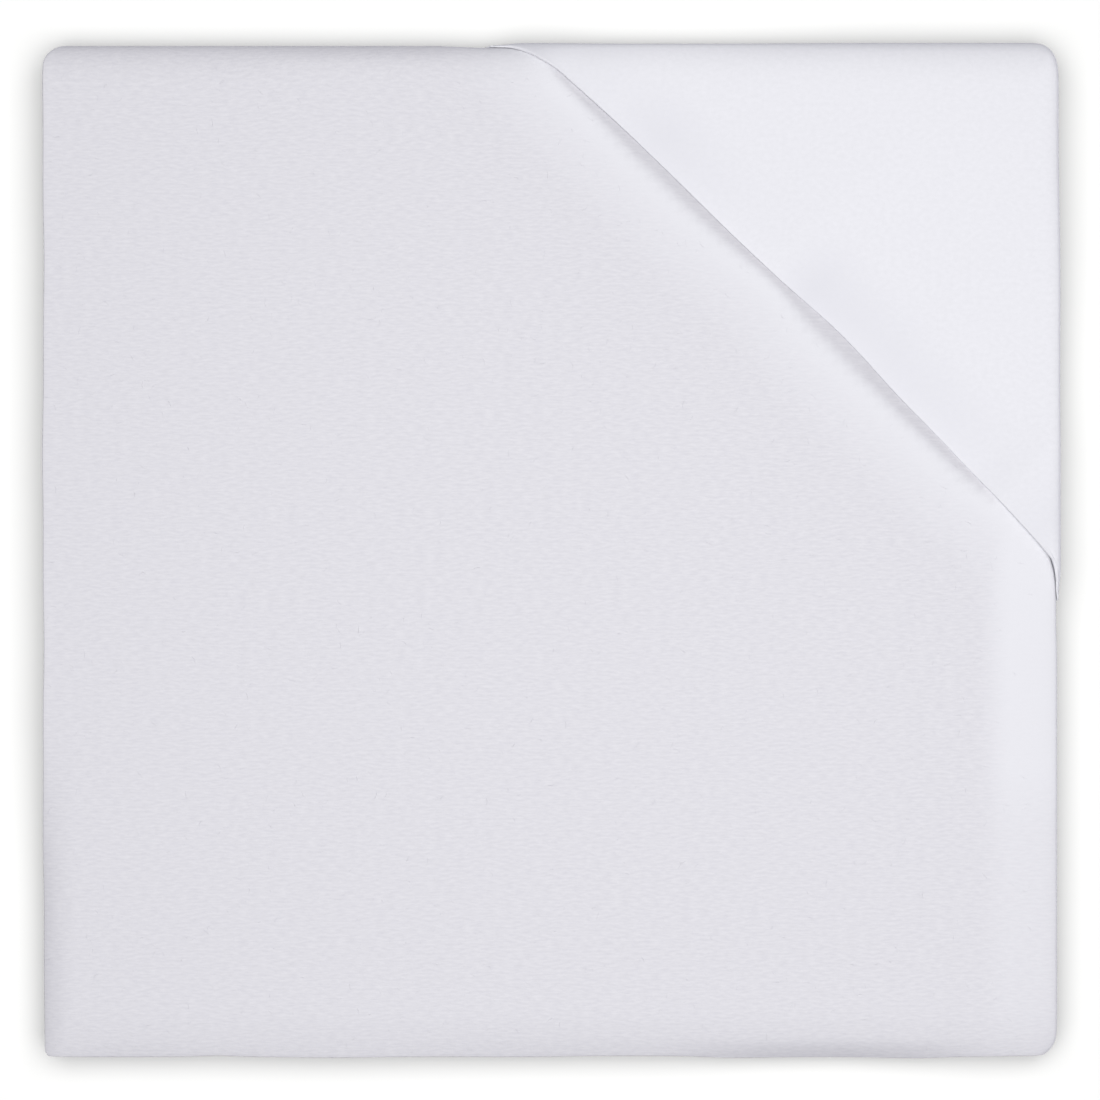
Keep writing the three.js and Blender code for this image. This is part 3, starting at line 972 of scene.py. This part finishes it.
@dataclass(frozen=True)
class KnitFinish:
    """A white knitted cloth, with streaks along its courses and the soft nap of its fibres.

    The fibres scatter light evenly, so it has no gloss but a faint sheen at a slant, and its
    loops show as short streaks, a little darker between than on top.
    """

    name: str
    light: str
    dark: str
    # The painted tone: a paler painted highlight or a darker painted shade, mixed in by the painted light mark.
    painted_light: str
    streak: tuple[float, float]
    nap: float
    bump: float
    sheen: float

    def material(self) -> bpy.types.Material:
        """Make the node material.

        Returns:
            The material, which reads the piece's own cut pattern and marks.
        """
        made = bpy.data.materials.new(self.name)
        tree = blank_tree(made)
        cut = add_node(tree, "ShaderNodeUVMap", uv_map="cut")
        length, width = self.streak
        scale = (1 / (length * MM), 1 / (width * MM), 1)
        streaks = add_node(tree, "ShaderNodeMapping", {"Vector": cut.outputs["UV"], "Scale": scale})
        course = {"Vector": streaks.outputs[0], "Scale": 1.0, "Detail": 2.0, "Roughness": 0.6}
        loops = add_node(tree, "ShaderNodeTexNoise", course)
        place = add_node(tree, "ShaderNodeTexCoord")
        hair = {"Vector": place.outputs["Object"], "Scale": 1 / (self.nap * MM), "Detail": 3.0, "Roughness": 0.65}
        nap = add_node(tree, "ShaderNodeTexNoise", hair)
        worn = add_node(tree, "ShaderNodeAttribute", attribute_name=Mark.WORN.value)
        painted_light = add_node(tree, "ShaderNodeAttribute", attribute_name=Mark.PAINTED_LIGHT.value)
        spread = {"Value": loops.outputs["Fac"], "From Min": 0.3, "From Max": 0.7}
        shade = add_node(tree, "ShaderNodeMapRange", spread)
        tones = {0: shade.outputs[0], 6: linear_colour(self.dark), 7: linear_colour(self.light)}
        plain = add_node(tree, "ShaderNodeMix", tones, data_type="RGBA")
        # Painted light: the mark mixes in the painted tone, a painted highlight on the panel and painted shade on the
        # pocket.
        tones = {0: painted_light.outputs["Fac"], 6: plain.outputs[2], 7: linear_colour(self.painted_light)}
        colour = add_node(tree, "ShaderNodeMix", tones, data_type="RGBA")
        rough = add_node(tree, "ShaderNodeMath", {0: worn.outputs["Fac"], 1: 2.0, 2: 1.0}, operation="MULTIPLY_ADD")
        fibres = add_node(tree, "ShaderNodeMath", {0: nap.outputs["Fac"], 1: rough.outputs[0]}, operation="MULTIPLY")
        height = add_node(tree, "ShaderNodeMath", {0: loops.outputs["Fac"], 1: fibres.outputs[0]}, operation="ADD")
        bump = {"Height": height.outputs[0], "Distance": self.bump * MM, "Strength": 1.0}
        relief = add_node(tree, "ShaderNodeBump", bump)
        shader = add_node(
            tree,
            "ShaderNodeBsdfPrincipled",
            {
                "Base Color": colour.outputs[2],
                "Normal": relief.outputs[0],
                "Roughness": 0.95,
                "IOR": 1.45,
                "Specular IOR Level": 0.15,
                "Sheen Weight": self.sheen,
                "Sheen Roughness": 0.6,
            },
        )
        add_node(tree, "ShaderNodeOutputMaterial", {"Surface": shader.outputs[0]})
        return made


# Brushed jersey of cotton and polyester, laminated underneath. Its courses run across the pack.
PANEL_FINISH = KnitFinish(
    name="brushed_cotton_jersey",
    light="#e7e6e9",
    dark="#dedde1",
    # Painted highlight: the paler tone beside the pocket's crease and along the right-hand fold.
    painted_light="#ededf0",
    streak=(2.9, 0.7),
    nap=0.9,
    bump=0.05,
    sheen=0.04,
)

# Fine stretch knit of the side cloth, smoother and a little brighter than the jersey.
POCKET_FINISH = KnitFinish(
    name="fine_stretch_knit",
    light="#efeff2",
    dark="#ebebee",
    # Painted shade: the darker tone beside the pocket's free edge.
    painted_light="#e6e6ea",
    streak=(1.7, 1.3),
    nap=0.8,
    bump=0.015,
    sheen=0.04,
)


@dataclass(frozen=True)
class FibreFinish:
    """Loose cotton fibres, dull and a little clearer than the cloth, with a soft sheen at a slant."""

    name: str
    light: str
    dark: str
    change: float

    def material(self) -> bpy.types.Material:
        """Make the node material, which changes a little from one fibre to the next."""
        made = bpy.data.materials.new(self.name)
        tree = blank_tree(made)
        place = add_node(tree, "ShaderNodeTexCoord")
        change = {"Vector": place.outputs["Object"], "Scale": 1 / (self.change * MM), "Detail": 1.0}
        noise = add_node(tree, "ShaderNodeTexNoise", change)
        tones = {0: noise.outputs["Fac"], 6: linear_colour(self.dark), 7: linear_colour(self.light)}
        colour = add_node(tree, "ShaderNodeMix", tones, data_type="RGBA")
        shader = add_node(
            tree,
            "ShaderNodeBsdfPrincipled",
            {
                "Base Color": colour.outputs[2],
                "Roughness": 0.85,
                "IOR": 1.53,
                "Specular IOR Level": 0.15,
                "Sheen Weight": 0.1,
                "Sheen Roughness": 0.5,
            },
        )
        add_node(tree, "ShaderNodeOutputMaterial", {"Surface": shader.outputs[0]})
        return made


# Bleached cotton fibres that the brushing pulled out of the jersey.
FIBRE_FINISH = FibreFinish(name="raised_cotton_fibre", light="#ececee", dark="#e0dfe3", change=4.0)


@dataclass
class StrayFibres:
    """Fibres that brushing has raised on the panel's upper face, each a low arch with both ends in the cloth.

    A cotton fibre is about 0.02 mm thick, so these are drawn coarser in order to show at all.
    """

    name: str
    per_square_metre: float = 15000.0
    length: float = 2.4
    thickness: float = 0.06
    lift: float = 0.2
    bend: float = 0.6
    least_scale: tuple[float, float, float] = (0.5, 0.2, 0.5)
    most_scale: tuple[float, float, float] = (1.3, 1.4, 1.2)
    seed: int = 7

    def tree(self, finish: bpy.types.Material) -> bpy.types.NodeTree:
        """Make the node tree that scatters fibres over a piece of cloth.

        Args:
            finish: the fibres' material.

        Returns:
            The tree, with a named input for each size.
        """
        tree = bpy.data.node_groups.new("fibres_on_cloth", "GeometryNodeTree")
        tree.interface.new_socket("Cloth", in_out="INPUT", socket_type="NodeSocketGeometry")
        for size in ("Density", "Length", "Thickness", "Lift", "Bend"):
            tree.interface.new_socket(size, in_out="INPUT", socket_type="NodeSocketFloat")
        tree.interface.new_socket("Seed", in_out="INPUT", socket_type="NodeSocketInt")
        tree.interface.new_socket("Fibres", in_out="OUTPUT", socket_type="NodeSocketGeometry")
        given = add_node(tree, "NodeGroupInput").outputs
        scatter = {"Mesh": given["Cloth"], "Density": given["Density"], "Seed": given["Seed"]}
        spots = add_node(tree, "GeometryNodeDistributePointsOnFaces", scatter, distribute_method="RANDOM")
        near, far, rooted, top, radius = (
            add_node(tree, "ShaderNodeMath", {0: given[size], 1: share}, operation="MULTIPLY").outputs[0]
            for size, share in (("Length", -0.5), ("Length", 0.5), ("Thickness", -1), ("Lift", 2), ("Thickness", 0.5))
        )
        corners = {"Start": {"X": near, "Z": rooted}, "Middle": {"Y": given["Bend"], "Z": top}}
        corners["End"] = {"X": far, "Z": rooted}
        path = {name: add_node(tree, "ShaderNodeCombineXYZ", way).outputs[0] for name, way in corners.items()}
        arch = add_node(tree, "GeometryNodeCurveQuadraticBezier", {"Resolution": 5, **path})
        ring = add_node(tree, "GeometryNodeCurvePrimitiveCircle", {"Resolution": 3, "Radius": radius})
        swept = {"Curve": arch.outputs[0], "Profile Curve": ring.outputs[0], "Fill Caps": True}
        fibre = add_node(tree, "GeometryNodeCurveToMesh", swept)
        angle = {2: 0.0, 3: 2 * math.pi, "Seed": given["Seed"]}
        spin = add_node(tree, "FunctionNodeRandomValue", angle, data_type="FLOAT")
        turn = add_node(tree, "FunctionNodeAxisAngleToRotation", {"Axis": (0, 0, 1), "Angle": spin.outputs[1]})
        turned = {"Rotation": spots.outputs["Rotation"], "Rotate By": turn.outputs[0]}
        way = add_node(tree, "FunctionNodeRotateRotation", turned, rotation_space="LOCAL")
        limits = {0: self.least_scale, 1: self.most_scale, "Seed": given["Seed"]}
        size = add_node(tree, "FunctionNodeRandomValue", limits, data_type="FLOAT_VECTOR")
        copies = {"Points": spots.outputs["Points"], "Instance": fibre.outputs[0]}
        copies |= {"Rotation": way.outputs[0], "Scale": size.outputs[0]}
        fibres = add_node(tree, "GeometryNodeInstanceOnPoints", copies)
        real = add_node(tree, "GeometryNodeRealizeInstances", {0: fibres.outputs[0]})
        dressed = add_node(tree, "GeometryNodeSetMaterial", {"Geometry": real.outputs[0], "Material": finish})
        add_node(tree, "NodeGroupOutput", {0: dressed.outputs[0]})
        return tree

    def build(self, cloth: bpy.types.Mesh, finish: bpy.types.Material) -> bpy.types.Object:
        """Scatter the fibres over a face of cloth and turn them into one plain mesh.

        Args:
            cloth: the face that carries them.
            finish: their material.

        Returns:
            The finished object.
        """
        carrier = put_in_scene("fibre_carrier", cloth)
        scatter = carrier.modifiers.new("fibres", "NODES")
        scatter.node_group = self.tree(finish)
        sizes = {
            "Density": self.per_square_metre,
            "Length": self.length * MM,
            "Thickness": self.thickness * MM,
            "Lift": self.lift * MM,
            "Bend": self.bend * MM,
            "Seed": self.seed,
        }
        for socket in scatter.node_group.interface.items_tree:
            if socket.in_out == "INPUT" and socket.name in sizes:
                scatter[socket.identifier] = sizes[socket.name]
        graph = bpy.context.evaluated_depsgraph_get()
        mesh = bpy.data.meshes.new_from_object(carrier.evaluated_get(graph))
        mesh.name = self.name
        carrier.modifiers.remove(scatter)
        bpy.data.objects.remove(carrier)
        piece = put_in_scene(self.name, mesh)
        LOG.info("%s: %d faces", piece.name, len(mesh.polygons))
        return piece


@dataclass
class Studio:
    """Pale floor, soft light and a camera straight above, framed as in the photograph.

    The light is fitted to the photograph and is not a real set of lamps: the cloth gets more of it
    from below than from above, as off a bright table, and the floor has a lamp of its own.
    """

    millimetres_per_pixel: float = 0.297
    centre_pixel: tuple[float, float] = (552.0, 550.0)
    outline_height: float = 6.2
    lens: float = 135.0
    fill: float = 0.3
    bounce: float = 0.72
    bounce_lean: tuple[float, float, float] = (0.36, -0.02, 0.0)
    key_share: float = 0.705
    key_place: tuple[float, float, float] = (0.08, 0.0, 0.9)
    key_size: float = 1.05
    board_share: float = 3.19
    board_height: float = 1.2
    board_size: float = 2.0
    floor_half: float = 4.0
    floor_level: float = -0.0003
    sky: tuple[float, float, float, float] = (0.965, 0.96, 1.06, 1)

    def floor(self) -> bpy.types.Object:
        """Make the plain pale floor."""
        half, level = self.floor_half, self.floor_level
        mesh = bpy.data.meshes.new("floor")
        corners = [(-half, -half, level), (half, -half, level), (half, half, level), (-half, half, level)]
        mesh.from_pydata(corners, [], [(0, 1, 2, 3)])
        board = put_in_scene("floor", mesh)
        paint = bpy.data.materials.new("white_studio_board")
        paint.use_nodes = True
        shader = paint.node_tree.nodes["Principled BSDF"]
        shader.inputs["Base Color"].default_value = linear_colour("#949493")
        shader.inputs["Roughness"].default_value = 1.0
        shader.inputs["Specular IOR Level"].default_value = 0.0
        mesh.materials.append(paint)
        board.visible_diffuse = False
        return board

    def area_light(self, name: str, share: float, size: float, place: Vector, only: list) -> bpy.types.Object:
        """Make a large soft lamp that points at the middle of the pack.

        Args:
            name: the lamp's name.
            share: how bright it makes a white sheet that faces it in the middle.
            size: its side in metres.
            place: where it hangs.
            only: the objects that it lights.

        Returns:
            The lamp's object.
        """
        lamp = bpy.data.lights.new(name, "AREA")
        slant = math.sin(math.atan(size / 2 / place.length))
        lamp.energy = share * (math.pi * size) ** 2 / (4 * slant * math.atan(slant))
        lamp.size = size
        made = put_in_scene(name, lamp)
        made.location = place
        made.rotation_euler = (-place).to_track_quat("-Z", "Y").to_euler()
        made.visible_camera = False
        group = bpy.data.collections.new(name + "_lights")
        for lit in only:
            group.objects.link(lit)
        made.light_linking.receiver_collection = group
        return made

    def lights(self, cloths: list, board: bpy.types.Object) -> None:
        """Hang the key over the cloth and a lamp over the board, and fill the room with soft light.

        Args:
            cloths: the pieces that the key lights.
            board: the floor, which has a lamp of its own.
        """
        self.area_light("key", self.key_share, self.key_size, Vector(self.key_place), cloths)
        above = Vector((0, 0, self.board_height))
        self.area_light("board_lamp", self.board_share, self.board_size, above, [board])
        world = bpy.data.worlds.new("studio")
        bpy.context.scene.world = world
        tree = blank_tree(world)
        path = add_node(tree, "ShaderNodeLightPath")
        way = add_node(tree, "ShaderNodeTexCoord")
        height = add_node(tree, "ShaderNodeSeparateXYZ", {0: way.outputs["Generated"]})
        below = add_node(tree, "ShaderNodeMath", {0: height.outputs["Z"], 1: 0.0}, operation="LESS_THAN")
        slant = {0: way.outputs["Generated"], 1: self.bounce_lean}
        lean = add_node(tree, "ShaderNodeVectorMath", slant, operation="DOT_PRODUCT")
        extra = {0: lean.outputs["Value"], 1: self.bounce - self.fill}
        more = add_node(tree, "ShaderNodeMath", extra, operation="ADD")
        total = {0: below.outputs[0], 1: more.outputs[0], 2: self.fill}
        strength = add_node(tree, "ShaderNodeMath", total, operation="MULTIPLY_ADD")
        soft = add_node(tree, "ShaderNodeBackground", {"Color": self.sky, "Strength": strength.outputs[0]})
        seen = add_node(tree, "ShaderNodeBackground", {"Color": (1, 1, 1, 1), "Strength": 1.0})
        shown = {0: path.outputs["Is Camera Ray"], 1: soft.outputs[0], 2: seen.outputs[0]}
        both = add_node(tree, "ShaderNodeMixShader", shown)
        add_node(tree, "ShaderNodeOutputWorld", {"Surface": both.outputs[0]})

    def camera(self) -> bpy.types.Object:
        """Set the camera straight above the pack, with the rear of the pack at the top."""
        width = PHOTO_PIXELS * self.millimetres_per_pixel * MM
        made = put_in_scene("camera", bpy.data.cameras.new("camera"))
        made.data.lens = self.lens
        made.data.sensor_width = 36.0
        distance = width * self.lens / made.data.sensor_width
        aside = (PHOTO_PIXELS / 2 - self.centre_pixel[0]) * self.millimetres_per_pixel * MM
        ahead = (self.centre_pixel[1] - PHOTO_PIXELS / 2) * self.millimetres_per_pixel * MM
        made.location = (aside, ahead, self.outline_height * MM + distance)
        made.rotation_euler = (0, 0, 0)
        made.data.clip_end = 100
        bpy.context.scene.camera = made
        bpy.context.scene.view_settings.view_transform = "Standard"
        return made


def dress(piece: bpy.types.Object, finish: KnitFinish, node: str) -> None:
    """Give a cloth its finish and put it in the place of its CAD node.

    Args:
        piece: the cloth.
        finish: what it is made of.
        node: the CAD node that it stands for.
    """
    piece.data.materials.clear()
    piece.data.materials.append(finish.material())
    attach(piece, "root")
    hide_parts(node)
    LOG.info("%s: %d faces", piece.name, len(piece.data.polygons))


def main() -> None:
    """Build the pieces in order, dress them, and set the studio round them."""
    logging.basicConfig(level=logging.INFO, format="%(name)s: %(message)s")
    plan = PackPlan.of_node("folded_panel")
    relief = Relief(plan, PocketEdge())
    studio = Studio()
    studio.camera()
    folded = FoldedPanel("panel_cloth", plan.cloth, 0.45, plan=plan, relief=relief)
    panel = folded.build()
    dress(panel, PANEL_FINISH, "folded_panel")
    fibres = StrayFibres("stray_fibres").build(folded.bare_face(panel), FIBRE_FINISH.material())
    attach(fibres, "root")
    pocket = CornerPocket("pocket_cloth", 1.0, 0.3, plan=plan, relief=relief).build()
    dress(pocket, POCKET_FINISH, "corner_pocket")
    board = studio.floor()
    studio.lights([panel, pocket, fibres], board)


if __name__ == "__main__":
    main()
